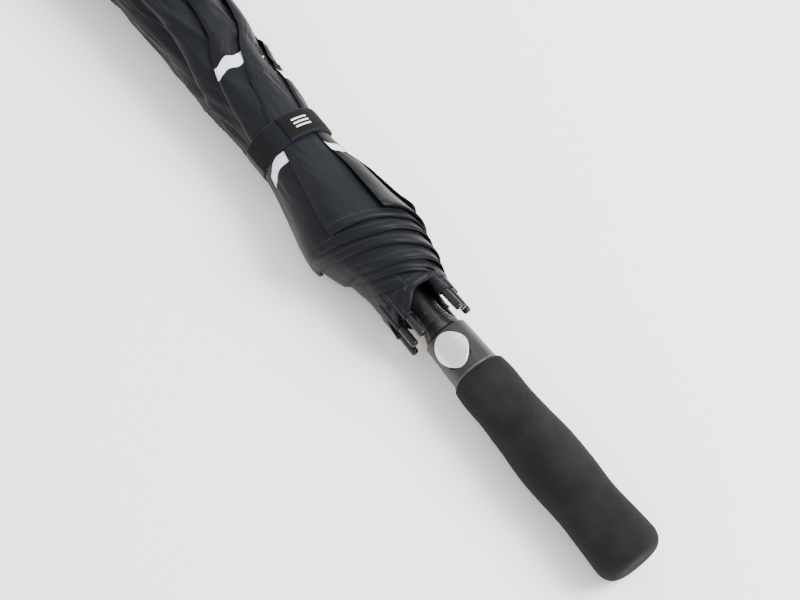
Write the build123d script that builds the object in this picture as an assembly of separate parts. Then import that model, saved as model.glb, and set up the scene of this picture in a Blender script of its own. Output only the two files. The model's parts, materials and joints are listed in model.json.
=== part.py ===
"""Golf umbrella, folded and lying down: shaft, crown, eight ribs and stretchers, sliding runner, canopy,
closing strap, push-button latch and foam grip.

Everything is drawn in the shaft's own frame first: X runs along the shaft from the crown pivots (x = 0)
towards the handle, and a spoke at azimuth 0 stands along +Z. place() then lays the umbrella on the floor."""

import os
from math import atan2, cos, degrees, radians, sin

from build123d import *

# ---- driving dimensions, millimetres and degrees ------------------------------------------------------
RIBS = 8
ARM = 345.0              # crown pivot to mid pivot, and mid pivot to runner pivot
PIVOT_R = 8.5            # radius of the crown and runner pivot rings
REST_SPLAY = 0.6         # angle of a folded rib to the shaft
RIB_OFFSET = 5.2         # rib rod stands this far outside its pivot line
ROD_R = 1.9
COLLAR_R = 2.7           # sockets and brackets round a rod
TIP_R = 2.65
TIP_START, TIP_END = 734.0, 762.0
BEND_START = 360.0       # the wrapped cloth springs some folded ribs sideways from here to their tips
TIP_SWING = {1: -35.5, 3: -15.0, 4: -20.0, 8: -8.0}   # by rib number, degrees round the shaft
TONGUE_W = 3.0           # width of rib eyes and stretchers
SLOT_W = 3.4
EYE_R = 1.7
WIRE_R = 0.6
WIRE_HOLE_R = 0.8
RIVET_R = 1.0

SHAFT_R = 6.0
SHAFT_BORE_R = 5.0
SHAFT_START, SHAFT_END = -32.0, 926.0
CROWN_R = 11.2
RUNNER_BORE_R = 6.06
RUNNER_END = 764.7
TAIL_R = 8.5
TAIL_END = 775.0
OPEN_ANGLE = 72.0

COLLAR_START, COLLAR_END = 765.5, 797.0
COLLAR_TOP_R, COLLAR_LOW_R = 15.4, 16.5
COLLAR_CAVITY_R = 13.7
CORE_R = 11.0
CORE_END = 940.0
GRIP_END = 955.0
PIN_X = 906.0
BUTTON_AZIMUTH = 27.0
BUTTON_X = 780.0
BUTTON_TRAVEL = 2.5
PLATE_X, PLATE_T = 770.2, 2.0

PANEL_GAP = 0.7          # degrees left free between neighbouring panels
CANOPY_TOP = -6.5
PANEL_IN_R, PANEL_SLOPE = 17.0, 0.0105
STRAP_X, STRAP_W = 596.0, 20.0
STRAP_IN_R, STRAP_T = 25.6, 1.0
TAB_IN_R, TAB_T = 26.9, 0.8
TAB_HINGE, TAB_FREE = -84.0, 0.0

FLOOR_TILT = 1.42        # the folded umbrella rests on its belly and on the end of its grip
GRIP_REST_X, GRIP_REST_R = 942.0, 22.6
MIDDLE_NUDGE = -0.08     # puts the middle of the tilted umbrella's box at x = 0

# ---- helpers ------------------------------------------------------------------------------------------
PIVOT = Pos(0, 0, PIVOT_R)
MID_X = ARM * cos(radians(REST_SPLAY))
MID_R = PIVOT_R + ARM * sin(radians(REST_SPLAY))
RUNNER_X = 2 * MID_X


def turned(*points):
    """Solid of revolution about X from an outline of (x, radius) points."""
    return revolve(make_face(Plane.XZ * Polyline(*points, close=True)), Axis.X)


def rod(x0, x1, radius, z=0.0):
    """Cylinder along X, its centre line z above the local axis."""
    return Pos((x0 + x1) / 2, 0, z) * Rot(0, 90, 0) * Cylinder(radius, x1 - x0)


def ring(x0, x1, inner, outer):
    return rod(x0, x1, outer) - rod(x0, x1, inner)


def cross_pin(x, z, radius, width):
    """Cylinder across the spoke, along Y."""
    return Pos(x, 0, z) * Rot(90, 0, 0) * Cylinder(radius, width)


def block(x0, x1, width, z0, z1):
    return Pos((x0 + x1) / 2, 0, (z0 + z1) / 2) * Box(x1 - x0, width, z1 - z0)


def spoke(shape, azimuth):
    return Rot(azimuth, 0, 0) * shape


def sector(x0, x1, inner, outer, start, end):
    """Curved strip between two azimuths."""
    outline = make_face(Plane.XZ * Polyline((x0, inner), (x1, inner), (x1, outer), (x0, outer), close=True))
    return spoke(revolve(outline, Axis.X, revolution_arc=end - start), start)


def in_rib(shape):
    """From a rib's own frame (pivot at zero, rib along X) to the folded place at azimuth 0."""
    return PIVOT * Rot(0, -REST_SPLAY, 0) * shape


def in_stretcher(shape):
    """From a stretcher's own frame (mid pivot at zero) to the folded place at azimuth 0."""
    return Pos(MID_X, 0, MID_R) * Rot(0, REST_SPLAY, 0) * shape


def lying(shape):
    """Lay the shaft's frame on the floor, z = 0, with the middle of the length at x = 0."""
    height = GRIP_REST_R / cos(radians(FLOOR_TILT)) + GRIP_REST_X * sin(radians(FLOOR_TILT))
    return Pos(MIDDLE_SHIFT, 0, height) * Rot(0, FLOOR_TILT, 0) * shape


# ---- rib assemblies -----------------------------------------------------------------------------------
def swung(shape, swing):
    """Turn a rod bent along -Y so that its tip keeps its distance from the shaft."""
    return Pos(0, 0, RIB_OFFSET) * Rot(swing / 2, 0, 0) * Pos(0, 0, -RIB_OFFSET) * shape


def tip_shift(swing):
    """Straight distance that a tip moves when it swings round the shaft."""
    radius = PIVOT_R + RIB_OFFSET + TIP_START * sin(radians(REST_SPLAY))
    return 2 * radius * sin(radians(swing / 2))


def rib_rod(swing):
    """Rod, straight to BEND_START and then an arc that carries its tip round the shaft."""
    end = TIP_START + 12
    if not swing:
        return rod(9, end, ROD_R, RIB_OFFSET)
    reached = (TIP_START, -tip_shift(swing), RIB_OFFSET)
    bend = TangentArc((BEND_START, 0, RIB_OFFSET), reached, tangent=(1, 0, 0))
    tail = Line(bend @ 1, (bend @ 1) + (bend % 1) * (end - TIP_START))
    path = Line((9, 0, RIB_OFFSET), (BEND_START, 0, RIB_OFFSET)) + bend + tail
    return swung(sweep(Plane(origin=(9, 0, RIB_OFFSET), z_dir=(1, 0, 0)) * Circle(ROD_R), path), swing)


def rib_hinges():
    """Crown eye fitting, mid bracket and its rivet, three solids that ride on the rod."""
    arm = make_face(
        Plane.XZ * Polyline((-0.4, 1.2), (1.4, -0.6), (20, 3.4), (20, RIB_OFFSET), (9, RIB_OFFSET + 1.2), close=True)
    )
    eye = cross_pin(0, 0, EYE_R, TONGUE_W) + extrude(arm, TONGUE_W / 2, both=True)
    eye += rod(8, 24, COLLAR_R, RIB_OFFSET)
    eye -= cross_pin(0, 0, WIRE_HOLE_R, 10)
    eye -= rod(9, 30, ROD_R, RIB_OFFSET)
    lug_t, fork_w, rivet_w = 1.1, 5.5, 6.3
    bracket = rod(ARM - 9, ARM + 9, COLLAR_R, RIB_OFFSET) - rod(ARM - 9, ARM + 9, ROD_R, RIB_OFFSET)
    for side in (-1, 1):
        lug = block(ARM - 3, ARM + 3, lug_t, 0, RIB_OFFSET - ROD_R - 0.1)
        lug += Pos(ARM, 0, 0) * Rot(90, 0, 0) * Cylinder(2.1, lug_t)
        bracket += Pos(0, side * (fork_w - lug_t) / 2, 0) * lug
    bracket -= cross_pin(ARM, 0, RIVET_R + 0.02, 10)
    rivet = cross_pin(ARM, 0, RIVET_R, fork_w)
    for side in (-1, 1):
        rivet += Pos(0, side * (fork_w / 2 + 0.25), 0) * cross_pin(ARM, 0, 1.5, 0.4)
    return eye, bracket, rivet


def stretcher():
    bar = block(0, ARM, TONGUE_W, -1.2, 1.2)
    bar += cross_pin(0, 0, 1.9, TONGUE_W)
    bar += cross_pin(ARM, 0, EYE_R, TONGUE_W)
    bar -= cross_pin(0, 0, RIVET_R + 0.06, 10)
    bar -= cross_pin(ARM, 0, WIRE_HOLE_R, 10)
    return bar


def rib_tip(swing):
    """Round-ended cap pushed on the rod, turned with the rod's end."""
    shift = tip_shift(swing)
    turn = 2 * degrees(atan2(-shift, TIP_START - BEND_START))
    body = rod(TIP_START, TIP_END, TIP_R, RIB_OFFSET)
    body = fillet(body.edges().sort_by(Axis.X)[-1], 1.6)
    body -= rod(TIP_START - 1, TIP_START + 12.05, ROD_R + 0.03, RIB_OFFSET)
    return swung(Pos(TIP_START, -shift, 0) * Rot(0, 0, turn) * Pos(-TIP_START, 0, 0) * body, swing)


def canopy_outline():
    """(x, radius) down the outside of the folded canopy: crown, belly, strap waist, skirt and inner hems."""
    outside = [(CANOPY_TOP, 18.3), (70, 27), (160, 37), (250, 41), (340, 38), (430, 32.5), (500, 29), (555, 26.6),
               (580, 25.3), (612, 25.3), (640, 31), (668, 37.5), (679, 38), (682, 31.5), (708, 29.5), (744, 26.8)]
    inside = [(x, PANEL_IN_R + PANEL_SLOPE * x) for x in (744, CANOPY_TOP)]
    return outside + inside


def canopy_panel(number):
    """Panel between rib number and the next one, pressed flat where it meets the floor."""
    outline = make_face(Plane.XZ * Polyline(*canopy_outline(), close=True))
    share = 360 / RIBS
    panel = revolve(outline, Axis.X, revolution_arc=share - PANEL_GAP)
    panel = lying(spoke(panel, share * (number - 1) + PANEL_GAP / 2))
    return panel - Pos(0, 0, -50) * Box(2400, 400, 100)


# ---- shaft line ---------------------------------------------------------------------------------------
def shaft():
    tube = ring(SHAFT_START, SHAFT_END, SHAFT_BORE_R, SHAFT_R)
    slot = Pos((200 + 712) / 2, 0, 0) * Box(512, 3.4, 30)
    pins = cross_pin(PIN_X, 0, 1.5, 30) + cross_pin(-24, 0, 1.5, 30)
    return tube - slot - pins


def pivot_slots(x0, x1, reach):
    slots = [spoke(block(x0, x1, SLOT_W, 6.7, reach), 360 / RIBS * n) for n in range(RIBS)]
    return Part() + slots


def pivot_wire(x):
    return Pos(x, 0, 0) * Rot(0, 90, 0) * Torus(PIVOT_R, WIRE_R)


def crown():
    body = turned((-12, SHAFT_R), (3, SHAFT_R), (3, CROWN_R - 1), (2, CROWN_R), (-7, CROWN_R), (-12, 9))
    body -= pivot_slots(-2.8, 4, 20)
    return body - Rot(0, 90, 0) * Torus(PIVOT_R, WIRE_R + 0.02)


def canopy_cap():
    """Domed cap that holds the top of the canopy down on the crown."""
    return turned((-20, SHAFT_R + 0.02), (-20, 9.2), (-17.5, 13.5), (-12.5, 17.6), (-9, 18.4), (-7.6, 18.4),
                  (-7.6, 16.8), (-12.2, 15.4), (-12.2, SHAFT_R + 0.02))


def tip_ferrule():
    body = turned((-21, SHAFT_R), (-21, 8.4), (-25, 8.4), (-28, 7.4), (-35, 7.0), (-37, 5.0), (-50, 5.0),
                  (-52, 3.6), (-52, 0), (SHAFT_START, 0), (SHAFT_START, SHAFT_R))
    return body - cross_pin(-24, 0, 1.5, 13.2)


def runner():
    """Slotted flange, waisted barrel with a rounded shoulder, ringed flare and latch tail."""
    body = turned((683, RUNNER_BORE_R), (683, 10.2), (684, 11.2), (697, 11.2), (699, 8.2), (725, 8.2),
                  (727, 8.8), (730, 9.3), (750, 9.3), (757, 10.6), (RUNNER_END, 13.4), (RUNNER_END, TAIL_R),
                  (770, TAIL_R), (770, 7.2), (772.6, 7.2), (772.6, TAIL_R), (TAIL_END, 7.9),
                  (TAIL_END, RUNNER_BORE_R))
    for x, radius in ((751.5, 9.6), (754, 10.05), (756.5, 10.5), (759, 11.4)):
        body -= ring(x, x + 0.6, radius - 0.35, radius + 3)
    body -= pivot_slots(682, RUNNER_X + 2.8, 20)
    body -= Pos(RUNNER_X, 0, 0) * Rot(0, 90, 0) * Torus(PIVOT_R, WIRE_R + 0.02)
    return body - cross_pin(710, 0, 1.5, 30).rotate(Axis.X, 90)


def drive_pin():
    """Cross pin of the runner, through the shaft's slot onto the drive spring."""
    return cross_pin(710, 0, 1.5, 15.6).rotate(Axis.X, 90)


def coil(radius, wire, length, turns):
    """Compression spring along X from zero."""
    path = Helix(length / turns, length, radius)
    section = Plane(origin=path @ 0, z_dir=path % 0) * Circle(wire)
    return Rot(0, 90, 0) * sweep(section, path)


def shaft_pins():
    return [cross_pin(-24, 0, 1.48, 13), cross_pin(PIN_X, 0, 1.48, 21)]


# ---- handle -------------------------------------------------------------------------------------------
def button_outline(grow=0.0):
    """Egg with its point towards the grip, drawn in the plane of the shaft."""
    top, side, point = -12.4 - grow, 11.3 + grow, 13.4 + grow
    ends = [(top, 0), (-8.0 - grow * 0.7, side * 0.72), (-1.5, side), (5.8, side * 0.84), (point, 0)]
    half = Spline(*ends, tangents=((0, 1), (0.35, -1)))
    return make_face([half, mirror(half, Plane.XZ)])


def in_button(shape):
    return spoke(shape, BUTTON_AZIMUTH)


def handle_collar():
    taper = (COLLAR_LOW_R - COLLAR_TOP_R) / (COLLAR_END - COLLAR_START)
    body = turned((COLLAR_START, 9.0), (COLLAR_START, COLLAR_TOP_R - 0.9), (COLLAR_START + 0.9, COLLAR_TOP_R),
                  (COLLAR_END, COLLAR_TOP_R + taper * (COLLAR_END - COLLAR_START)), (COLLAR_END, COLLAR_CAVITY_R),
                  (COLLAR_START + 2.2, COLLAR_CAVITY_R), (COLLAR_START + 2.2, 9.0))
    window = extrude(Pos(BUTTON_X, 0, 5) * button_outline(0.35), 30)
    return body - in_button(window)


def release_button():
    shell = turned((BUTTON_X - 20, 13.9), (BUTTON_X - 20, 16.3), (BUTTON_X + 20, 17.5), (BUTTON_X + 20, 13.9))
    return in_button(extrude(Pos(BUTTON_X, 0, 5) * button_outline(), 30) & shell)


def latch_slider():
    """Plate across the collar with a hook that holds the runner's tail until the button is pressed."""
    x0, x1 = PLATE_X, PLATE_X + PLATE_T
    plate = rod(x0, x1, 13.2) & rod(x0, x1, 13.2, BUTTON_TRAVEL)
    hole = rod(x0, x1, 9.0) + rod(x0, x1, 9.0, BUTTON_TRAVEL + 0.3) + block(x0, x1, 18, 0, BUTTON_TRAVEL + 0.3)
    hook = block(x0, x1, 7, -9.2, -7.5)
    post = block(x0, x1, 8, 12.0, 14.3)
    return in_button(plate - (hole - hook) + post)


def button_spring():
    spring = Rot(0, -90, 0) * coil(2.6, 0.35, 6.4, 4)
    return in_button(Pos(784, 0, 6.9) * spring)


def handle_core():
    return turned((COLLAR_END - 3, SHAFT_R + 0.02), (COLLAR_END - 3, COLLAR_CAVITY_R - 0.02),
                  (COLLAR_END, COLLAR_CAVITY_R - 0.02), (COLLAR_END, 14.5), (COLLAR_END + 2, 14.5),
                  (COLLAR_END + 2, CORE_R), (CORE_END, CORE_R), (CORE_END, 0), (SHAFT_END + 2, 0),
                  (SHAFT_END + 2, SHAFT_R + 0.02)) - cross_pin(PIN_X, 0, 1.5, 21.2)


def foam_grip():
    """Sleeve with two waists, a middle swell and a closed rounded end."""
    start = COLLAR_END + 2.4
    side = Spline((start + 1.4, 19.0), (start + 14, 18.95), (start + 31, 19.0), (start + 68, 21.6),
                  (start + 109, 20.3), (start + 130, 21.5), (GRIP_END - 12, 22.35), (GRIP_END - 2.6, 17.0),
                  tangents=((1, 0.0), (0.35, -1)))
    outline = Plane.XZ * (
        Polyline((start, CORE_R + 0.05), (start, 17.8), (start + 1.4, 19.0))
        + side
        + Polyline((GRIP_END - 2.6, 17.0), (GRIP_END, 11.0), (GRIP_END, 0), (CORE_END + 0.05, 0),
                   (CORE_END + 0.05, CORE_R + 0.05), (start, CORE_R + 0.05))
    )
    return revolve(make_face(outline), Axis.X)


# ---- strap --------------------------------------------------------------------------------------------
def strap_parts():
    x0, x1 = STRAP_X - STRAP_W / 2, STRAP_X + STRAP_W / 2
    band_out = STRAP_IN_R + STRAP_T
    tab_out = TAB_IN_R + TAB_T
    return {
        "strap_band": sector(x0, x1, STRAP_IN_R, band_out, TAB_HINGE, TAB_HINGE + 352),
        "hook_patch": sector(x0 + 1, x1 - 1, band_out + 0.05, band_out + 0.27, 30, 72),
        "strap_tab": sector(x0, x1, TAB_IN_R, tab_out, TAB_HINGE, TAB_FREE),
        "strap_label": sector(x0 + 1.5, x1 - 1.5, tab_out + 0.05, tab_out + 0.5, TAB_HINGE + 8, TAB_FREE - 0.6),
    }


# ---- put together and write ---------------------------------------------------------------------------
LENGTH_MIDDLE = (-52 + GRIP_END) / 2
MIDDLE_SHIFT = -LENGTH_MIDDLE * cos(radians(FLOOR_TILT)) + MIDDLE_NUDGE


def straight_parts():
    """Every node drawn in the shaft's frame."""
    parts = {
        "shaft": shaft(),
        "crown": crown(),
        "crown_wire": pivot_wire(0),
        "canopy_cap": canopy_cap(),
        "tip_ferrule": tip_ferrule(),
        "shaft_pins": shaft_pins(),
        "runner": runner(),
        "runner_wire": pivot_wire(RUNNER_X),
        "drive_pin": drive_pin(),
        "drive_spring": Pos(712.4, 0, 0) * coil(3.9, 0.55, 191.0, 22),
        "handle_collar": handle_collar(),
        "handle_core": handle_core(),
        "foam_grip": foam_grip(),
        "release_button": release_button(),
        "latch_slider": latch_slider(),
        "button_spring": button_spring(),
    }
    parts.update(strap_parts())
    for number in range(1, RIBS + 1):
        azimuth = 360 / RIBS * (number - 1)
        swing = TIP_SWING.get(number, 0)
        parts[f"rib_{number}"] = spoke(in_rib(rib_rod(swing)), azimuth)
        parts[f"rib_hinges_{number}"] = [spoke(in_rib(piece), azimuth) for piece in rib_hinges()]
        parts[f"rib_tip_{number}"] = spoke(in_rib(rib_tip(swing)), azimuth)
        parts[f"stretcher_{number}"] = spoke(in_stretcher(stretcher()), azimuth)
    return parts


def solids_of(shape):
    pieces = shape if isinstance(shape, list) else [shape]
    return [solid for piece in pieces for solid in piece.solids()]


def main():
    os.makedirs("parts", exist_ok=True)
    model = {name: [lying(solid) for solid in solids_of(shape)] for name, shape in straight_parts().items()}
    for number in range(1, RIBS + 1):
        model[f"canopy_panel_{number}"] = solids_of(canopy_panel(number))
    for name, solids in model.items():
        export_step(Compound(children=solids) if len(solids) > 1 else solids[0], f"parts/{name}.step")
    whole = Compound(children=[solid for solids in model.values() for solid in solids]).bounding_box()
    print("nodes", len(model), "box", whole.min, whole.max)


main()
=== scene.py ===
"""Golf umbrella, folded: cloth, strap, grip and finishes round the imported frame.

The umbrella's own coordinates are used throughout: x in millimetres along the shaft from the crown's pivots
towards the handle, an azimuth in degrees round the shaft (0 is up, rising towards -Y) and a radius in
millimetres. place() turns them into the row frame, in metres."""
import json

import bmesh
import bpy
import numpy as np
from mathutils import Matrix, Vector


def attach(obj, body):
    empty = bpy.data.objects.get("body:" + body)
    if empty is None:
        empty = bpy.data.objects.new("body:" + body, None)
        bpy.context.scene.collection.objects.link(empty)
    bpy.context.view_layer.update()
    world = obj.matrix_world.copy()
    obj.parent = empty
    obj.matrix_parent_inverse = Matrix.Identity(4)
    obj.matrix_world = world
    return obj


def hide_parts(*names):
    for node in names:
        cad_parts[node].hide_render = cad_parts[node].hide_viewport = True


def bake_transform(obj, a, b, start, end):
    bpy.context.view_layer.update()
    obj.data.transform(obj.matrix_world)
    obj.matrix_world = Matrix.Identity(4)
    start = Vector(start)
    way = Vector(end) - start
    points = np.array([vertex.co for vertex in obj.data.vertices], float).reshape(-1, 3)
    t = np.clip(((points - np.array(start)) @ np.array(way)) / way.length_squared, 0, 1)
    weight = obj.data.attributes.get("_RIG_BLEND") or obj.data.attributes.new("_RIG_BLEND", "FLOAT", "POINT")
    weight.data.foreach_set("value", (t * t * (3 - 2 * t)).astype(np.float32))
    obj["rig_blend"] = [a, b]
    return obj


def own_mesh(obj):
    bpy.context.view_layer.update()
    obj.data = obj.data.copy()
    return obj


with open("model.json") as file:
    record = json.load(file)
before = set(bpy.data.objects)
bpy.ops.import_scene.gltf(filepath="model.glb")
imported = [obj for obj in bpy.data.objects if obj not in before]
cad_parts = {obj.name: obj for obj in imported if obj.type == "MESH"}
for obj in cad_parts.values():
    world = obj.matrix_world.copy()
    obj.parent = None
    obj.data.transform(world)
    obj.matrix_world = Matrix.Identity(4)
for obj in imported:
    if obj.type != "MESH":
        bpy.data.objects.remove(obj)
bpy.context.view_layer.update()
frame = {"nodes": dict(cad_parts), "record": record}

# ---- the umbrella's own frame, from the record -------------------------------------------------------
JOINTS = {joint["name"]: joint for joint in frame["record"]["behaviour"]["joints"]}
MOUNTS = {mount["name"]: mount for mount in frame["record"]["mounts"]}
RIBS = 8
SHARE = 360 / RIBS
PIVOTS = np.array([JOINTS["fold" if n == 1 else f"rib_{n}_hinge"]["pos_m"] for n in range(1, RIBS + 1)])
CROWN = PIVOTS.mean(0)
ALONG = np.array(MOUNTS["handle_butt"]["axis"])
UP = (PIVOTS[0] - CROWN) / np.linalg.norm(PIVOTS[0] - CROWN)
SIDE = (PIVOTS[2] - CROWN) / np.linalg.norm(PIVOTS[2] - CROWN)

# ---- driving dimensions, millimetres and degrees -----------------------------------------------------
ROD_OUTSIDE, ROD_SPLAY = 15.9, 0.0105        # radius of a folded rib rod's outer side, and its rise
ROD_MIDDLE = 13.7                            # radius of the same rod's middle at the crown
HEM_AT_RIB, HEM_AT_MIDDLE, HEM_RISE = 747.0, 679.0, 57.0
CANOPY_TOP = 1.5
STRAP_X, STRAP_W = 596.0, 20.0
TAB_HINGE, TAB_FREE = -84.0, 6.0
BEND_START, TIP_START = 360.0, 734.0
TIP_SWING = {1: -35.5, 3: -15.0, 4: -20.0, 8: -8.0}
OPEN_ANGLE = np.radians(72.0)
CLOTH_HALF = 0.05
NO_BAND = 90.0                               # a distance from any band that leaves the cloth plain
FLOOR_GAP = 0.3
GRIP_START, GRIP_END = 799.2, 955.0
VIEW_SIDE = 16.4                             # azimuth of the side that faces the camera


def place(x, azimuth, radius):
    """Row-frame points for own-frame arrays: CROWN + x along the shaft + radius turned by azimuth."""
    turn = np.radians(azimuth)
    x, turn, radius = np.broadcast_arrays(np.asarray(x, float), turn, np.asarray(radius, float))
    return CROWN + (x[..., None] * ALONG + (radius * np.cos(turn))[..., None] * UP
                    + (radius * np.sin(turn))[..., None] * SIDE) / 1000


def smooth(t):
    """3t^2 - 2t^3 between 0 and 1."""
    t = np.clip(t, 0, 1)
    return t * t * (3 - 2 * t)


def through(x, points):
    """Smooth curve through (x, value) points: cubic pieces, each slope averaged from the neighbours."""
    xs, ys = np.array(points, float).T
    slopes = np.gradient(ys, xs)
    x = np.clip(x, xs[0], xs[-1])
    k = np.clip(np.searchsorted(xs, x, side="right") - 1, 0, len(xs) - 2)
    h = xs[k + 1] - xs[k]
    t = (x - xs[k]) / h
    return ((1 + 2 * t) * (1 - t) ** 2 * ys[k] + t * (1 - t) ** 2 * h * slopes[k]
            + t * t * (3 - 2 * t) * ys[k + 1] + t * t * (t - 1) * h * slopes[k + 1])


def lattice_noise(a, b, seed):
    """Smooth noise from -1 to 1: random values on a lattice, blended by smooth(), repeating each 64."""
    repeat = 64
    values = np.random.default_rng(seed).uniform(-1, 1, (repeat, repeat))
    ia, ib = np.floor(a).astype(int), np.floor(b).astype(int)
    fa, fb = smooth(a - ia), smooth(b - ib)

    def across(row):
        return values[ia % repeat, row % repeat] * (1 - fa) + values[(ia + 1) % repeat, row % repeat] * fa

    return across(ib) * (1 - fb) + across(ib + 1) * fb


# ---- meshes -------------------------------------------------------------------------------------------
def grid_faces(rows, columns, wrap=False, flip=False):
    """Quads of a rows by columns grid, the columns joined round if wrap is set."""
    r = np.arange(rows - 1)[:, None]
    c = np.arange(columns if wrap else columns - 1)[None, :]
    d = (c + 1) % columns
    quads = np.stack([r * columns + c, r * columns + d, (r + 1) * columns + d, (r + 1) * columns + c], -1)
    quads = quads.reshape(-1, 4)
    return quads[:, ::-1] if flip else quads


def make(name, points, quads, attributes=None, shade_smooth=True):
    """Mesh object from arrays: points in the row frame, quads (a repeated last index makes a triangle)."""
    mesh = bpy.data.meshes.new(name)
    faces = [q if len(set(q)) == 4 else list(dict.fromkeys(q)) for q in np.asarray(quads).tolist()]
    mesh.from_pydata(np.asarray(points, float).reshape(-1, 3).tolist(), [], faces)
    for key, values in (attributes or {}).items():
        values = np.asarray(values, np.float32)
        kind = "FLOAT" if values.ndim == 1 else "FLOAT_VECTOR"
        layer = mesh.attributes.new(key, kind, "POINT")
        layer.data.foreach_set("value" if values.ndim == 1 else "vector", values.ravel())
    mesh.polygons.foreach_set("use_smooth", np.full(len(mesh.polygons), shade_smooth))
    mesh.update()
    obj = bpy.data.objects.new(name, mesh)
    bpy.context.scene.collection.objects.link(obj)
    return obj


def grid_normals(points):
    """Unit normals of a (rows, columns, 3) grid from its central differences."""
    down = np.gradient(points, axis=0)
    across = np.gradient(points, axis=1)
    n = np.cross(across, down)
    return n / np.maximum(np.linalg.norm(n, axis=-1, keepdims=True), 1e-12)


def cloth_shell(name, points, half, attributes, outward=1.0):
    """Closed thin sheet: the grid moved half its thickness each way along its normals, its rim joined."""
    rows, columns = points.shape[:2]
    offset = grid_normals(points) * (np.broadcast_to(half, points.shape[:2])[..., None] * outward / 1000)
    both = np.concatenate([(points + offset).reshape(-1, 3), (points - offset).reshape(-1, 3)])
    size = rows * columns
    front = grid_faces(rows, columns, flip=outward < 0)
    back = grid_faces(rows, columns, flip=outward > 0) + size
    index = np.arange(size).reshape(rows, columns)
    rim = np.concatenate([index[0, :-1], index[:-1, -1], index[-1, :0:-1], index[:0:-1, 0]])
    after = np.roll(rim, -1)
    side = np.stack([rim, rim + size, after + size, after], -1)
    if outward < 0:
        side = side[:, ::-1]
    doubled = {key: np.concatenate([value.ravel()] * 2) for key, value in attributes.items()}
    return make(name, both, np.concatenate([front, back, side]), doubled)


def turned(name, outline, columns=96, wobble=None):
    """Lathe: (x, radius) outline carried round the shaft; a first or last radius of 0 closes to a point."""
    x, radius = np.array(outline, float).T
    azimuth = np.arange(columns) * 360 / columns
    rr = np.broadcast_to(radius[:, None], (len(x), columns)).copy()
    if wobble is not None:
        rr += wobble(x[:, None], azimuth[None, :])
    points = place(x[:, None], azimuth[None, :], rr)
    obj = make(name, points, grid_faces(len(x), columns, wrap=True))
    weld(obj)
    return obj


def plain_cloth(turn, x, shape):
    """Attributes of a small piece of canopy cloth with no printed band; its hem_mm is added by its maker."""
    return {"across": np.broadcast_to(turn, shape).ravel(), "down": np.broadcast_to(x / 1000, shape).ravel(),
            "print_mm": np.full(shape[0] * shape[1], NO_BAND)}


def thicken(obj, millimetres):
    """Give an open sheet its thickness, half each way."""
    solid = obj.modifiers.new("thickness", "SOLIDIFY")
    solid.thickness = millimetres / 1000
    solid.offset = 0.0


def weld(obj):
    """Merge points at the same place and point the faces outwards."""
    work = bmesh.new()
    work.from_mesh(obj.data)
    bmesh.ops.remove_doubles(work, verts=work.verts, dist=1e-6)
    bmesh.ops.recalc_face_normals(work, faces=work.faces)
    work.to_mesh(obj.data)
    work.free()


# ---- materials ----------------------------------------------------------------------------------------
class Finish:
    """Material with a Principled shader and short helpers for its nodes."""

    def __init__(self, name, color, roughness, **sockets):
        self.material = bpy.data.materials.new(name)
        self.material.use_nodes = True
        self.tree = self.material.node_tree
        self.shader = self.tree.nodes["Principled BSDF"]
        self.shader.inputs["Base Color"].default_value = (*color, 1)
        self.shader.inputs["Roughness"].default_value = roughness
        for key, value in sockets.items():
            self.shader.inputs[key.replace("_", " ")].default_value = value

    def node(self, kind, links=None, **settings):
        made = self.tree.nodes.new("ShaderNode" + kind)
        for key, value in settings.items():
            setattr(made, key, value)
        for key, value in (links or {}).items():
            if isinstance(value, bpy.types.NodeSocket):
                self.tree.links.new(value, made.inputs[key])
            else:
                made.inputs[key].default_value = value
        return made

    def math(self, operation, a, b=0.0, c=0.0, clamp=False):
        made = self.node("Math", {0: a, 1: b, 2: c}, operation=operation, use_clamp=clamp)
        return made.outputs[0]

    def attribute(self, name):
        return self.node("Attribute", attribute_name=name).outputs["Fac"]

    def position(self):
        return self.node("TexCoord").outputs["Object"]

    def noise(self, scale, detail=2.0, vector=None, roughness=0.5):
        made = self.node("TexNoise", {"Vector": vector or self.position(), "Scale": scale, "Detail": detail,
                                      "Roughness": roughness})
        return made.outputs["Fac"]

    def ramp(self, value, low, high, to_low=0.0, to_high=1.0):
        made = self.node("MapRange", {0: value, 1: low, 2: high, 3: to_low, 4: to_high}, clamp=True)
        return made.outputs[0]

    def mix(self, factor, a, b):
        made = self.node("Mix", data_type="RGBA")
        for socket, value in zip((made.inputs[0], made.inputs[6], made.inputs[7]), (factor, a, b)):
            if isinstance(value, bpy.types.NodeSocket):
                self.tree.links.new(value, socket)
            else:
                socket.default_value = value if isinstance(value, (int, float)) else (*value, 1)
        return made.outputs[2]

    def into(self, socket, value):
        self.tree.links.new(value, self.shader.inputs[socket])

    def bump(self, height, strength, distance):
        made = self.node("Bump", {"Strength": strength, "Distance": distance, "Height": height})
        self.into("Normal", made.outputs[0])


NAVY, NAVY_LIT = (0.0028, 0.0034, 0.0056), (0.0054, 0.0064, 0.0100)
PRINT_WHITE = (0.66, 0.70, 0.76)


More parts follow.
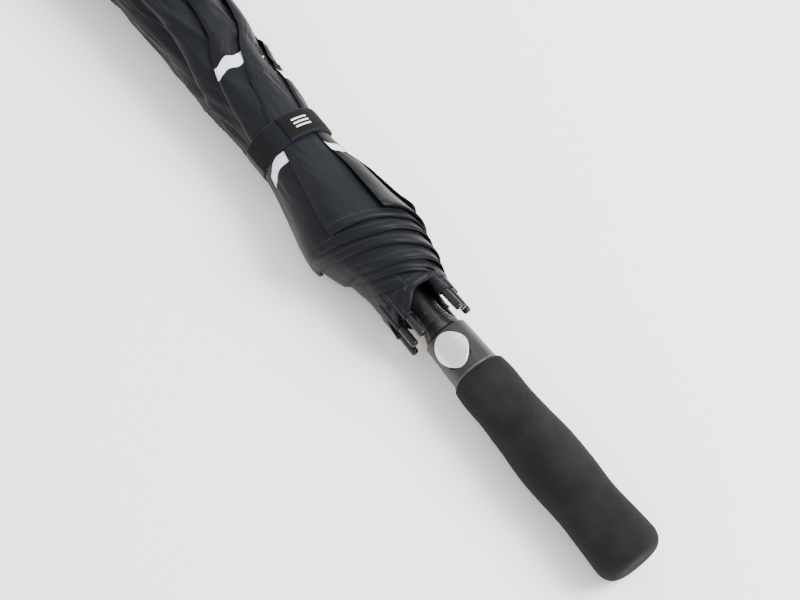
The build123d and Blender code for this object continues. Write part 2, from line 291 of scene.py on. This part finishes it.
def satin_cloth(name, printed=True):
    """Dark navy satin: cross weave, streaks along the yarn, and if printed a pale band and a stitched hem."""
    f = Finish(name, NAVY, 0.5, Sheen_Weight=0.05, Sheen_Roughness=0.4)
    f.shader.inputs["Specular IOR Level"].default_value = 0.11
    u, v = f.attribute("across"), f.attribute("down")
    cloth = f.node("CombineXYZ", {0: u, 1: v}).outputs[0]
    warp = f.node("TexWave", {"Vector": cloth, "Scale": 450.0, "Distortion": 0.4}, bands_direction="X")
    weft = f.node("TexWave", {"Vector": cloth, "Scale": 450.0, "Distortion": 0.4}, bands_direction="Y")
    weave = f.math("MULTIPLY", warp.outputs["Fac"], weft.outputs["Fac"])
    grain = f.noise(1500.0, 2.0)
    patch = f.noise(26.0, 3.0)
    streak = f.noise(1.0, 2.0, f.node("Mapping", {"Vector": cloth, "Scale": (900.0, 14.0, 1.0)}).outputs[0])
    tone = f.math("ADD", f.math("MULTIPLY", patch, 0.5), f.math("MULTIPLY", streak, 0.5))
    color = f.mix(f.ramp(tone, 0.3, 0.7), NAVY, NAVY_LIT)
    rough = f.ramp(f.math("ADD", patch, f.math("MULTIPLY", grain, 0.4)), 0.4, 1.0, 0.40, 0.56)
    height = f.math("ADD", f.math("MULTIPLY", weave, 0.6), f.math("MULTIPLY", grain, 0.6))
    if printed:
        off = f.math("ABSOLUTE", f.attribute("print_mm"))
        edge = f.math("ADD", off, f.math("MULTIPLY", grain, 0.25))
        mask = f.ramp(edge, 4.1, 4.35, 1.0, 0.0)
        shade = f.mix(f.ramp(streak, 0.3, 0.8), PRINT_WHITE, (0.55, 0.59, 0.66))
        color = f.mix(mask, color, shade)
        hem = f.attribute("hem_mm")
        line = f.ramp(f.math("ABSOLUTE", f.math("SUBTRACT", hem, 6.0)), 0.25, 0.5, 1.0, 0.0)
        dash = f.ramp(f.math("PINGPONG", f.math("MULTIPLY", u, 1000.0), 1.4), 0.35, 0.5)
        stitch = f.math("MULTIPLY", line, dash)
        color = f.mix(stitch, color, (0.014, 0.015, 0.019))
        seat = f.ramp(f.math("ABSOLUTE", f.math("SUBTRACT", hem, 6.0)), 0.0, 1.2, 0.0, 1.0)
        height = f.math("ADD", height, f.math("MULTIPLY", f.math("ADD", seat, stitch), 2.5))
    f.into("Base Color", color)
    f.into("Roughness", rough)
    f.bump(height, 0.35, 0.00006)
    return f.material


def woven_label(name):
    """Black damask label: fine ribs, a raised selvedge, and plain pale bars woven in its middle."""
    f = Finish(name, (0.005, 0.005, 0.005), 0.8)
    f.shader.inputs["Specular IOR Level"].default_value = 0.08
    u, v = f.attribute("across"), f.attribute("down")
    cloth = f.node("CombineXYZ", {0: u, 1: v}).outputs[0]
    wave = f.node("TexWave", {"Vector": cloth, "Scale": 620.0, "Distortion": 0.2}, bands_direction="Y")
    ribs = wave.outputs["Fac"]
    grain = f.noise(1800.0, 2.0)
    x_mm, y_mm = f.math("MULTIPLY", u, 1000.0), f.math("MULTIPLY", v, 1000.0)
    bar = f.ramp(f.math("PINGPONG", y_mm, 1.5), 0.55, 0.7, 1.0, 0.0)
    within_length = f.ramp(f.math("ABSOLUTE", f.math("SUBTRACT", x_mm, 14.0)), 5.8, 6.0, 1.0, 0.0)
    within_width = f.ramp(f.math("ABSOLUTE", y_mm), 3.6, 3.8, 1.0, 0.0)
    mark = f.math("MULTIPLY", bar, f.math("MULTIPLY", within_length, within_width))
    edge = f.ramp(f.math("ABSOLUTE", y_mm), 8.6, 8.8)
    thread = f.math("MULTIPLY", edge, f.ramp(f.math("PINGPONG", x_mm, 0.9), 0.3, 0.42))
    color = f.mix(mark, (0.005, 0.005, 0.005), (0.62, 0.64, 0.66))
    color = f.mix(f.math("MULTIPLY", thread, 0.5), color, (0.03, 0.036, 0.055))
    f.into("Base Color", color)
    raised = f.math("MULTIPLY", f.math("ADD", mark, thread), 2.0)
    f.bump(f.math("ADD", f.math("ADD", ribs, grain), raised), 0.5, 0.00006)
    return f.material


def hook_tape(name):
    """Black hook tape: a field of small round cells."""
    f = Finish(name, (0.006, 0.006, 0.007), 0.9)
    f.shader.inputs["Specular IOR Level"].default_value = 0.08
    cells = f.node("TexVoronoi", {"Vector": f.position(), "Scale": 1300.0}).outputs["Distance"]
    f.into("Base Color", f.mix(cells, (0.004, 0.004, 0.005), (0.010, 0.0105, 0.012)))
    f.bump(cells, 0.9, 0.0003)
    return f.material


def plastic(name, color, roughness, grain_scale, strength, coat=0.0):
    """Moulded plastic: slight tone and gloss variation and a fine grain."""
    f = Finish(name, color, roughness, Coat_Weight=coat, Coat_Roughness=0.12)
    f.shader.inputs["Specular IOR Level"].default_value = 0.2
    cloud = f.noise(60.0, 3.0)
    lighter = tuple(min(1.0, c * 1.35 + 0.002) for c in color)
    f.into("Base Color", f.mix(f.ramp(cloud, 0.35, 0.65), color, lighter))
    f.into("Roughness", f.ramp(cloud, 0.3, 0.7, roughness * 0.88, min(1.0, roughness * 1.12)))
    f.bump(f.noise(grain_scale, 2.0), strength, 0.0001)
    return f.material


def metal(name, color, roughness, stretch):
    """Drawn or brushed metal: streaks along the given direction of the Object coordinates."""
    f = Finish(name, color, roughness, Metallic=1.0)
    drawn = f.node("Mapping", {"Vector": f.position(), "Scale": stretch}).outputs[0]
    streak = f.noise(1.0, 3.0, drawn)
    darker = tuple(c * 0.78 for c in color)
    f.into("Base Color", f.mix(streak, darker, color))
    f.into("Roughness", f.ramp(streak, 0.3, 0.7, roughness * 0.8, roughness * 1.25))
    f.bump(streak, 0.12, 0.00005)
    return f.material


def foam(name):
    """Closed-cell foam: fine round cells, a dull skin and faint moulding mottle."""
    f = Finish(name, (0.0105, 0.0105, 0.011), 0.86)
    f.shader.inputs["Specular IOR Level"].default_value = 0.12
    cells = f.node("TexVoronoi", {"Vector": f.position(), "Scale": 1150.0}).outputs["Distance"]
    fine = f.noise(2600.0, 2.0)
    cloud = f.noise(45.0, 3.0)
    tone = f.math("ADD", f.math("MULTIPLY", cloud, 0.6), f.math("MULTIPLY", fine, 0.4))
    f.into("Base Color", f.mix(f.ramp(tone, 0.35, 0.7), (0.0042, 0.0042, 0.0045), (0.0150, 0.0150, 0.0155)))
    f.into("Roughness", f.ramp(cloud, 0.3, 0.7, 0.8, 0.93))
    f.bump(f.math("ADD", cells, f.math("MULTIPLY", fine, 0.8)), 0.75, 0.00035)
    return f.material


MATERIALS = {
    "canopy": satin_cloth("canopy_satin"),
    "strap": satin_cloth("strap_satin", printed=False),
    "label": woven_label("label_damask"),
    "hooks": hook_tape("hook_tape"),
    "rod": plastic("glass_fibre_rod", (0.012, 0.012, 0.013), 0.3, 900.0, 0.1, coat=0.3),
    "fitting": plastic("nylon_fitting", (0.012, 0.012, 0.013), 0.4, 800.0, 0.15),
    "steel_black": plastic("black_coated_steel", (0.012, 0.012, 0.013), 0.34, 600.0, 0.1, coat=0.2),
    "tip": plastic("tip_gloss", (0.0040, 0.0034, 0.0034), 0.2, 500.0, 0.06, coat=0.15),
    "tube": plastic("shaft_paint", (0.011, 0.011, 0.012), 0.3, 700.0, 0.08, coat=0.3),
    "moulded": plastic("satin_moulding", (0.0052, 0.0055, 0.0068), 0.36, 900.0, 0.1, coat=0.15),
    "collar": plastic("collar_moulding", (0.0095, 0.0098, 0.0112), 0.36, 1300.0, 0.12, coat=0.1),
    "core": plastic("core_moulding", (0.02, 0.02, 0.021), 0.6, 700.0, 0.2),
    "wire": metal("drawn_wire", (0.55, 0.55, 0.56), 0.3, (30.0, 900.0, 900.0)),
    "button": metal("button_satin", (0.66, 0.67, 0.69), 0.34, (900.0, 60.0, 60.0)),
    "foam": foam("grip_foam"),
    "lip": plastic("lip_moulding", (0.03, 0.031, 0.034), 0.3, 900.0, 0.1),
}


def finish_with(obj, key):
    """Give a piece the one material of that key."""
    obj.data.materials.clear()
    obj.data.materials.append(MATERIALS[key])


# ---- canopy -------------------------------------------------------------------------------------------
# The bundle, by x: its outside radius, how far a panel's outer fold edge lies past its rib, how far the cloth
# goes back under the bundle, and the share by which the radius grows towards BULGE_SIDE.
OUTSIDE = [(-8, 16.4), (0, 18.2), (70, 27), (160, 36.5), (250, 40.5), (340, 37.5), (430, 32.5), (490, 30),
           (534, 27.4), (560, 26.5), (583, 25.7), (609, 25.7), (625, 28.6), (646, 33.8), (666, 37.6),
           (680, 38.6), (694, 37), (715, 34.5), (747, 32)]
EDGE = [(-8, 8), (400, 7), (500, 5), (513, 11), (526, 27), (545, 44), (566, 58), (584, 69), (600, 76),
        (614, 82), (648, 90), (674, 95), (747, 101)]
BACK = [(-8, 8), (70, 22), (160, 42), (250, 62), (340, 90), (430, 130), (500, 160), (560, 172), (747, 180)]
EDGE_SHIFT = {7: -17.0, 6: -24.0, 2: 2.0}    # by panel: its edge's turn, in degrees, below the middle
HEM_SHIFT = {8: -2.5, 1: -4.0, 7: 5.0, 6: 4.0, 2: -5.0, 3: 4.0, 4: -3.0}
BULGE_SIDE = -76.0
BULGE = [(-8, 0), (300, 0.05), (400, 0.12), (470, 0.20), (500, 0.18), (530, 0.12), (570, 0.10), (596, 0.05),
         (640, 0.0), (676, -0.03), (690, 0.07), (706, 0.22), (725, 0.30), (747, 0.20)]
LOBE = [(-8, 0.2), (150, 1.2), (400, 2.4), (520, 2.2), (585, 0.35), (612, 0.35), (650, 1.2), (744, 0.8)]
# Printed bands by panel: each band's x at the outer fold edge, and its slope.
BANDS = {1: ((534.5, 0.0), (614.8, -0.1)), 7: ((554.0, 0.1), (620.0, 0.27)), 3: ((618.0, 0.1),),
         5: ((545.0, 0.05), (616.0, -0.1))}
FOLD_AT = (0.19, 0.49, 0.77)                 # share of the way across at which the cloth folds
LAYER = (3.0, 0.0, 1.0, 2.0)                 # cloth layers over each leg between the folds
ROWS = 180
# Mesh columns, closer together where the cloth is seen: (column, share of the way across).
COLUMNS = ((0, 0.0), (16, 0.19), (62, 0.39), (132, 0.49), (156, 0.54), (218, 0.77), (236, 1.0))
STEP = 3.6                                   # layers' thickness by which one panel lies over the next


def seam_swing(x, rib):
    """How far round a sprung rib's seam has gone: its tip's swing times the square of the way there."""
    way = np.clip((x - BEND_START) / (TIP_START - BEND_START), 0, 1.05)
    return TIP_SWING.get(rib, 0.0) * way ** 2


def fold_path(q, stops, sharp=0.012):
    """Zigzag through the stops at q = 0, FOLD_AT and 1: straight legs, their corners softly rounded."""
    knots = np.array([0.0, *FOLD_AT, 1.0])
    slopes = [(stops[k + 1] - stops[k]) / (knots[k + 1] - knots[k]) for k in range(4)]
    out = stops[0] + slopes[0] * q
    for k in range(1, 4):
        past = q - knots[k]
        soft = (past + np.sqrt(past ** 2 + sharp ** 2)) / 2
        out = out + (slopes[k] - slopes[k - 1]) * soft
    return out


def layer_of(q):
    """How many cloth layers lie over each leg of the fold, changing smoothly round each fold."""
    out = np.full_like(q, LAYER[0])
    for k, knot in enumerate(FOLD_AT):
        out = out + (LAYER[k + 1] - LAYER[k]) * smooth((q - knot) / 0.05 + 0.5)
    return out


def ridges(a, b, seed):
    """Creased noise: sharp ridges where lattice noise crosses zero, from -1.4 to 1."""
    return 1 - 2.4 * np.abs(lattice_noise(a, b, seed))


def wrinkles(x, azimuth, radius):
    """Soft creases: noise stretched along the shaft and leaning with the wrap, less under the strap."""
    turn = (azimuth + 0.6 * (x - STRAP_X)) / 360
    near = np.exp(-((x - STRAP_X) / 16.0) ** 2)
    upper = smooth((606 - x) / 60)
    broad = lattice_noise(turn * 16 + 3, x / 75.0, 3) * (0.4 + 1.0 * upper)
    long = ridges(turn * 32 + 7, x / 60.0 + 5, 4) * (0.12 + 0.75 * upper)
    drape = lattice_noise(azimuth / 360 * 32 + 2, x / 26.0, 6) * 0.22
    return (broad + long + drape) * (1 - 0.9 * near) * np.clip(radius / 30, 0.3, 1.2) * smooth((x + 8) / 60)


def gathers(x, azimuth):
    """Fine pleats standing out of the outermost layer, strongest where the strap pulls the cloth in."""
    upper = smooth((606 - x) / 60)
    beside = np.exp(-((np.abs(x - STRAP_X) - 20) / 22.0) ** 2)
    pleat = ridges(azimuth / 360 * 64 + 0.05 * x, x / 40.0 + 9, 5) + 1.4
    return pleat * (0.04 + 0.26 * upper + 0.32 * beside) * smooth((np.abs(x - STRAP_X) - 7) / 7)


def hem_line(q, number):
    """The hem's x across a panel: smallest at the fold edge, growing with depth in the fold to the ribs."""
    inner, outer = FOLD_AT[1] - FOLD_AT[0], FOLD_AT[2] - FOLD_AT[1]
    depth = np.where(q < FOLD_AT[1], (FOLD_AT[1] - q) / inner, (q - FOLD_AT[1]) / outer)
    depth = np.sqrt(depth ** 2 + 0.0025) - 0.05
    near_rib = smooth(1 - np.minimum(q, 1 - q) / 0.045)
    hem = HEM_AT_MIDDLE + HEM_SHIFT.get(number, 0.0) * (1 - smooth(depth)) + HEM_RISE * np.minimum(depth, 1.0)
    hem = hem + 1.6 * lattice_noise(depth * 7, np.full_like(q, number * 1.7), 8)
    return hem + (HEM_AT_RIB - hem) * near_rib


def rest_on_floor(points):
    """Press the cloth flat where it would go through the floor, with a soft bend."""
    floor, soft = FLOOR_GAP / 1000, 0.0012
    above = points[..., 2] - floor
    points[..., 2] = floor + (above + np.sqrt(above * above + soft * soft)) / 2


def share_when_open(q, x, azimuth, radius):
    """Share of the way from rib to rib at which a point stands when the canopy is open.

    It is q less how far the folded point is to one side of its own place, over the open panel's width; the
    place depends on the share itself, so the value is found by going round until it settles."""
    width = 2 * (13 + np.clip(x, 4, None) * np.sin(OPEN_ANGLE)) * np.sin(np.pi / RIBS)
    share = np.broadcast_to(q, x.shape).copy()
    for _ in range(30):
        aside = radius * np.sin(np.radians(azimuth - SHARE * share))
        share = 0.5 * share + 0.5 * np.clip(q - aside / width, 0, 1)
    return share


def band_distance(number, x, q):
    """Distance of a point from its panel's nearest printed band, whose middle line is a little wavy."""
    off_edge = (FOLD_AT[1] - q) * 850
    ripple = 1.3 * np.sin(off_edge / 7.0)
    bands = BANDS.get(number, ((-500.0, 0.0),))
    return np.min([np.abs(x - at - slope * off_edge - ripple) for at, slope in bands], axis=0)


def gore(number):
    """One canopy panel as it lies folded.

    A point is set by q, its share of the way across from rib number to the next rib, and by its way down from
    crown to hem. The cloth runs from its rib back under the bundle, forward to an outer fold edge, back and
    forward again to the next rib; its radius is the bundle's outside less a ramp that lets each panel's edge
    lie over the next, less its layer. Near the crown the folds open out and the cloth lies on the rods."""
    after = number % RIBS + 1
    q = np.interp(np.arange(COLUMNS[-1][0] + 1), *np.transpose(COLUMNS))[None, :]
    hem = hem_line(q, number)
    down = np.linspace(0, 1, ROWS)[:, None]
    down = down * (1.25 - 0.25 * down)
    x = CANOPY_TOP + (hem - CANOPY_TOP) * down

    start = seam_swing(x, number)
    end = SHARE + seam_swing(x, after)
    edge = through(x, EDGE) + EDGE_SHIFT.get(number, 0.0) * smooth((x - 500) / 90)
    back = -through(x, BACK)
    gather = smooth((x - 5) / 150)
    folded = fold_path(q, [start, start * 0.5 + back, edge, back + 3, end])
    azimuth = (1 - gather) * (start + (end - start) * q) + gather * folded
    absolute = azimuth + SHARE * (number - 1)

    inside = ROD_OUTSIDE + 0.35 + ROD_SPLAY * x
    towards_bulge = np.cos(np.radians(absolute - BULGE_SIDE))
    outside = through(x, OUTSIDE) * (1 + through(x, BULGE) * towards_bulge)
    layer = np.clip((outside - inside) / ((edge - back) / SHARE * STEP + 3.5), 0.05, 0.75)
    deepest = smooth((FOLD_AT[0] - q) / 0.03 + 0.5) + smooth((q - FOLD_AT[2]) / 0.03 + 0.5)
    ramp = np.clip(edge - azimuth, -4, 400)
    ramp = (ramp + (edge - back - ramp) * deepest) / SHARE * STEP * layer
    visible = np.clip((edge - azimuth) / SHARE, 0, 1)
    swell = through(x, LOBE) * (np.sin(np.pi * visible ** 0.7) - 0.35)
    radius = outside - ramp - layer * layer_of(q) + swell * np.exp(-layer_of(q) * 0.6)
    at_seam = smooth(q / 0.07) * smooth((1 - q) / 0.10)
    radius = inside + (radius - inside) * at_seam * (0.25 + 0.75 * gather)
    outermost = smooth(1.5 - (edge - azimuth) / 50) * smooth((FOLD_AT[1] - 0.004 - q) / 0.012)
    radius = radius + wrinkles(x, absolute, radius) * at_seam + gathers(x, absolute) * outermost * gather
    points = place(x, absolute, radius)
    rest_on_floor(points)

    hem_distance = hem - x
    half = CLOTH_HALF + 0.16 * smooth((8.5 - hem_distance) / 1.5)
    attributes = {"across": (q - 0.5) * 0.765 * x / 1000, "down": x / 1000,
                  "print_mm": band_distance(number, x, q), "hem_mm": hem_distance}
    attributes = {key: np.broadcast_to(value, x.shape) for key, value in attributes.items()}
    obj = cloth_shell(f"gore_{number}", points, half, attributes)
    finish_with(obj, "canopy")
    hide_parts(f"canopy_panel_{number}")
    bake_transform(obj, f"rib_{number}", f"panel_{number}", start=tuple(points[0, 0]), end=tuple(points[-1, -1]))
    share = share_when_open(q, x, azimuth, radius).ravel()
    blend = obj.data.attributes["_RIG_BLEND"].data
    blend.foreach_set("value", np.concatenate([share, share]).astype(np.float32))


for n in range(1, RIBS + 1):
    gore(n)


def ruffle():
    """Narrow ring of canopy cloth under the cap: a slight cone whose radius waves 24 times round."""
    top, foot, radius = -7.7, 3.0, 16.9
    turn = np.arange(192) * 360 / 192
    x = np.linspace(top, foot, 8)[:, None]
    pleat = 0.35 * np.cos(np.radians(turn * 24)) * smooth((x - top) / 6)
    points = place(x, turn, radius + 0.05 * (x - top) + pleat)
    shape = points.shape[:2]
    attributes = plain_cloth(turn * 0.0003, x, shape)
    attributes["hem_mm"] = attributes["print_mm"]
    obj = make("crown_ruffle", points, grid_faces(*shape, wrap=True), attributes)
    thicken(obj, 0.2)
    finish_with(obj, "canopy")
    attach(obj, "root")


ruffle()


# ---- strap --------------------------------------------------------------------------------------------
BAND_RADIUS, HOOKS_RADIUS, TAB_RADIUS, LABEL_RADIUS = 26.25, 26.75, 27.0, 27.5
HINGE_RADIUS = 26.5


def strap_strip(name, start, end, radius, thick, key, body, half_width=STRAP_W / 2, columns=90):
    """Strip round the bundle from azimuth start to end; its edges turn in and its face is uneven."""
    azimuth = np.linspace(start, end, columns)[None, :]
    v = np.linspace(-1, 1, 13)[:, None]
    x = strap_line(azimuth) + v * half_width
    bulge = 1 + 0.05 * np.cos(np.radians(azimuth - BULGE_SIDE))
    waves = 0.18 * np.sin(np.radians(azimuth * 3 + 20)) + 0.12 * lattice_noise(azimuth / 14, v * 1.5, 11)
    points = place(x, azimuth, radius * bulge + waves - 0.18 * v ** 4)
    cloth = {"across": np.broadcast_to(np.radians(end - azimuth) * radius / 1000, x.shape),
             "down": np.broadcast_to(v * half_width / 1000, x.shape)}
    obj = cloth_shell(name, points, np.full(x.shape, thick / 2), cloth, outward=-1.0)
    finish_with(obj, key)
    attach(obj, body)
    return obj


def strap_line(azimuth):
    """The strap's middle: it sits a little further towards the handle on the +Y side."""
    return STRAP_X + 1.5 * np.sin(np.radians(VIEW_SIDE - azimuth))


HINGE = place(STRAP_X, TAB_HINGE, HINGE_RADIUS)


def flatten_when_open(obj):
    """Give a strip its own copy of its mesh."""
    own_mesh(obj)


band = strap_strip("strap_loop", TAB_HINGE, TAB_HINGE + 356, BAND_RADIUS, 0.7, "strap", "rib_8", columns=200)
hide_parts("strap_band")
flatten_when_open(band)

hooks = strap_strip("hook_strip", 32, 78, HOOKS_RADIUS, 0.4, "hooks", "rib_8", half_width=9.6, columns=40)
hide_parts("hook_patch")
flatten_when_open(hooks)

tab = strap_strip("strap_flap", TAB_HINGE, TAB_FREE, TAB_RADIUS, 0.6, "strap", "strap_tab", columns=60)
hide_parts("strap_tab")

label = strap_strip("woven_label", TAB_HINGE + 4, TAB_FREE - 0.5, LABEL_RADIUS, 0.35, "label", "strap_tab",
                    half_width=9.7, columns=60)
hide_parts("strap_label")


# ---- grip ---------------------------------------------------------------------------------------------
def grip_outline():
    """Radius along the grip: neck, waist, middle swell, second waist and flared, rounded end."""
    end_radius, end_round, flat = 22.5, 12.0, 10.9
    end_start = GRIP_END - end_round
    swells = [(1.6, 18.9), (6, 19.4), (30, 19.4), (48, 20.4), (68, 21.9), (85, 21.8), (109, 20.7),
              (130, 21.8)]
    body = [(GRIP_START + way, radius) for way, radius in swells] + [(end_start, end_radius)]
    x = np.linspace(body[0][0], body[-1][0], 80)
    side = list(zip(x, through(x, body)))
    neck = [(0.0, 11.1), (0.0, 16.9), (0.25, 17.9), (0.9, 18.6)]
    lead = [(GRIP_START + way, radius) for way, radius in neck]
    turn = np.linspace(0, np.pi / 2, 24)[1:]
    end = list(zip(end_start + end_round * np.sin(turn), flat + (end_radius - flat) * np.cos(turn) ** 0.75))
    return lead + side + end + [(GRIP_END, 5.0), (GRIP_END, 0.0)]


def grip_wobble(x, azimuth):
    """Moulded unevenness, under a fifth of a millimetre."""
    on_side = smooth((x - GRIP_START - 1) / 4) * smooth((GRIP_END - 2 - x) / 6)
    return 0.16 * lattice_noise(azimuth / 360 * 16, x / 19.0, 21) * on_side


grip = turned("grip_sleeve", grip_outline(), columns=128, wobble=grip_wobble)
finish_with(grip, "foam")
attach(grip, "root")
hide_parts("foam_grip")

LIP = [(797.1, 14.6), (797.1, 16.75), (797.5, 17.0), (798.5, 17.0), (798.9, 16.75), (798.9, 14.6)]
lip = turned("collar_lip", LIP)
finish_with(lip, "lip")
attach(lip, "root")


# ---- push button --------------------------------------------------------------------------------------
BUTTON_X, BUTTON_AZIMUTH = 780.0, 27.0


def egg(turn, grow):
    """Outline of the button, its point towards the grip: ways along and across the shaft at an angle."""
    c = np.cos(turn)
    return 0.5 + (12.9 + grow) * c, (11.3 + grow) * np.sin(turn) * (1 - 0.13 * c - 0.2 * c * c)


def egg_surface(name, steps, body, key):
    """Rings of the egg outline on the collar's taper: each step is (share of the outline, growth, height)."""
    turn = np.linspace(0, 2 * np.pi, 96, endpoint=False)
    rings = []
    for share, grow, lift in steps:
        along, across = egg(turn, grow)
        x, y = BUTTON_X + along * share, across * share
        radius = 15.4 + (x - 765.5) * 0.035 + lift
        rings.append(place(x, BUTTON_AZIMUTH - np.degrees(np.arcsin(y / radius)), radius))
    obj = make(name, np.array(rings), grid_faces(len(rings), len(turn), wrap=True))
    weld(obj)
    finish_with(obj, key)
    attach(obj, body)
    return obj


dome = [(t, 0.0, 0.72 + 0.16 * t ** 3) for t in np.linspace(0.0, 0.955, 14)]
rim = [(0.975, 0.0, 0.84), (0.99, 0.0, 0.72), (1.0, 0.0, 0.5), (1.0, 0.0, -0.9)]
face = egg_surface("button_face", dome + rim, "button", "button")
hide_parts("release_button")
ring = [(0.13, -1.2), (0.13, 0.0), (0.2, 0.05), (0.62, 0.05), (0.68, 0.0), (0.68, -1.2), (0.13, -1.2)]
ring = [(1.0, grow, height) for grow, height in ring]
egg_surface("button_seam", ring, "root", "moulded")


# ---- cloth pockets on the rib tips --------------------------------------------------------------------
def tip_pocket(number):
    """Sewn corner of the canopy on a rib tip: a short, flattened and slightly creased sleeve."""
    start, end = 726.0, 746.5
    azimuth = SHARE * (number - 1)
    swing = TIP_SWING.get(number, 0.0)
    x = np.linspace(start, end, 14)[:, None]
    turn = np.linspace(0, 2 * np.pi, 28, endpoint=False)[None, :]
    way = (x - BEND_START) / (TIP_START - BEND_START)
    centre = place(x, azimuth + swing * way ** 2, ROD_MIDDLE + ROD_SPLAY * x)
    out = np.radians(azimuth + swing)
    radial = np.cos(out) * UP + np.sin(out) * SIDE
    aside = -np.sin(out) * UP + np.cos(out) * SIDE
    size = (3.15 + 0.35 * smooth((x - 743) / 3) - 0.5 * smooth((732 - x) / 6)) / 1000
    size = size * (1 + 0.06 * np.sin(3 * turn + number) + 0.05 * np.sin(x / 2.1 + 2 * turn))
    height, width = size * np.cos(turn), size * 1.12 * np.sin(turn)
    points = centre + height[..., None] * radial + width[..., None] * aside
    shape = points.shape[:2]
    attributes = plain_cloth(turn * 0.003, x, shape)
    attributes["hem_mm"] = np.broadcast_to(end + 2 - x, shape).ravel()
    obj = make(f"tip_pocket_{number}", points, grid_faces(*shape, wrap=True), attributes)
    thicken(obj, 0.3)
    finish_with(obj, "canopy")
    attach(obj, f"rib_{number}")


for n in range(1, RIBS + 1):
    tip_pocket(n)

# ---- finishes of the frame's own nodes ----------------------------------------------------------------
NODE_FINISH = {
    "shaft": "tube", "crown": "moulded", "canopy_cap": "moulded", "tip_ferrule": "moulded",
    "runner": "moulded",
    "latch_slider": "fitting", "crown_wire": "wire", "runner_wire": "wire", "drive_pin": "wire",
    "shaft_pins": "wire", "drive_spring": "wire", "button_spring": "wire", "handle_collar": "collar",
    "handle_core": "core", "release_button": "button",
}
for n in range(1, RIBS + 1):
    NODE_FINISH.update({f"rib_{n}": "rod", f"rib_hinges_{n}": "fitting", f"rib_tip_{n}": "tip",
                        f"stretcher_{n}": "steel_black"})
for node, key in NODE_FINISH.items():
    finish_with(frame["nodes"][node], key)


# ---- studio -------------------------------------------------------------------------------------------
def studio_floor():
    """Large, plain, pale floor of faintly uneven paper."""
    mesh = bpy.data.meshes.new("studio_floor")
    reach = 6.0
    corners = [(-reach, -reach, 0), (reach, -reach, 0), (reach, reach, 0), (-reach, reach, 0)]
    mesh.from_pydata(corners, [], [(0, 1, 2, 3)])
    obj = bpy.data.objects.new("studio_floor", mesh)
    bpy.context.scene.collection.objects.link(obj)
    f = Finish("floor_paper", (0.96, 0.922, 0.888), 0.9)
    f.shader.inputs["Specular IOR Level"].default_value = 0.1
    cloud = f.noise(3.0, 2.0)
    f.into("Base Color", f.mix(cloud, (0.950, 0.918, 0.886), (0.962, 0.930, 0.898)))
    mesh.materials.append(f.material)


def area_light(name, where, aim, size, watts, color):
    """Soft rectangular light at where, facing aim."""
    data = bpy.data.lights.new(name, "AREA")
    data.shape = "RECTANGLE"
    data.size, data.size_y = size
    data.energy, data.color = watts, color
    obj = bpy.data.objects.new(name, data)
    obj.location = where
    obj.rotation_euler = (Vector(aim) - Vector(where)).to_track_quat("-Z", "Y").to_euler()
    bpy.context.scene.collection.objects.link(obj)


CAMERA_SIDE, CAMERA_RISE = np.radians(-41.54), np.radians(66.0)
CAMERA_FAR = 1.30
LENS, SENSOR = 92.25, 36.0
AIM_X = 780.0                                # the collar's middle along the shaft
AIM_RIGHT, AIM_DOWN = 0.028878, 0.025366     # tangents of the collar's place off the view's middle


def camera():
    """Level camera CAMERA_FAR from the collar, turned until the collar lies right of and below its middle."""
    target = place(AIM_X, 0.0, 0.0)
    away = np.array([np.cos(CAMERA_RISE) * np.cos(CAMERA_SIDE), np.cos(CAMERA_RISE) * np.sin(CAMERA_SIDE),
                     np.sin(CAMERA_RISE)])
    back = away
    for _ in range(8):
        right = np.cross([0, 0, 1], back)
        right = right / np.linalg.norm(right)
        upward = np.cross(back, right)
        back = away * np.sqrt(1 + AIM_RIGHT ** 2 + AIM_DOWN ** 2) + AIM_RIGHT * right - AIM_DOWN * upward
        back = back / np.linalg.norm(back)
    data = bpy.data.cameras.new("camera")
    data.sensor_width = SENSOR
    data.lens = LENS
    data.clip_start, data.clip_end = 0.05, 50.0
    obj = bpy.data.objects.new("camera", data)
    turn = Matrix((right, upward, back)).transposed().to_4x4()
    obj.matrix_world = Matrix.Translation(Vector(target + away * CAMERA_FAR)) @ turn
    bpy.context.scene.collection.objects.link(obj)
    bpy.context.scene.camera = obj


def light():
    """Even, slightly warm surround with a broad key light and a weak fill."""
    world = bpy.data.worlds.new("studio")
    world.use_nodes = True
    surround = world.node_tree.nodes["Background"].inputs
    surround["Color"].default_value = (1.0, 0.985, 0.965, 1)
    surround["Strength"].default_value = 1.78
    bpy.context.scene.world = world
    area_light("key", (1.1, 1.5, 2.0), (0.15, 0, 0), (1.4, 1.4), 172, (1.0, 0.985, 0.96))
    area_light("fill", (-1.6, 0.9, 1.6), (0, 0, 0), (1.8, 1.2), 24, (0.96, 0.98, 1.0))


studio_floor()
camera()
light()
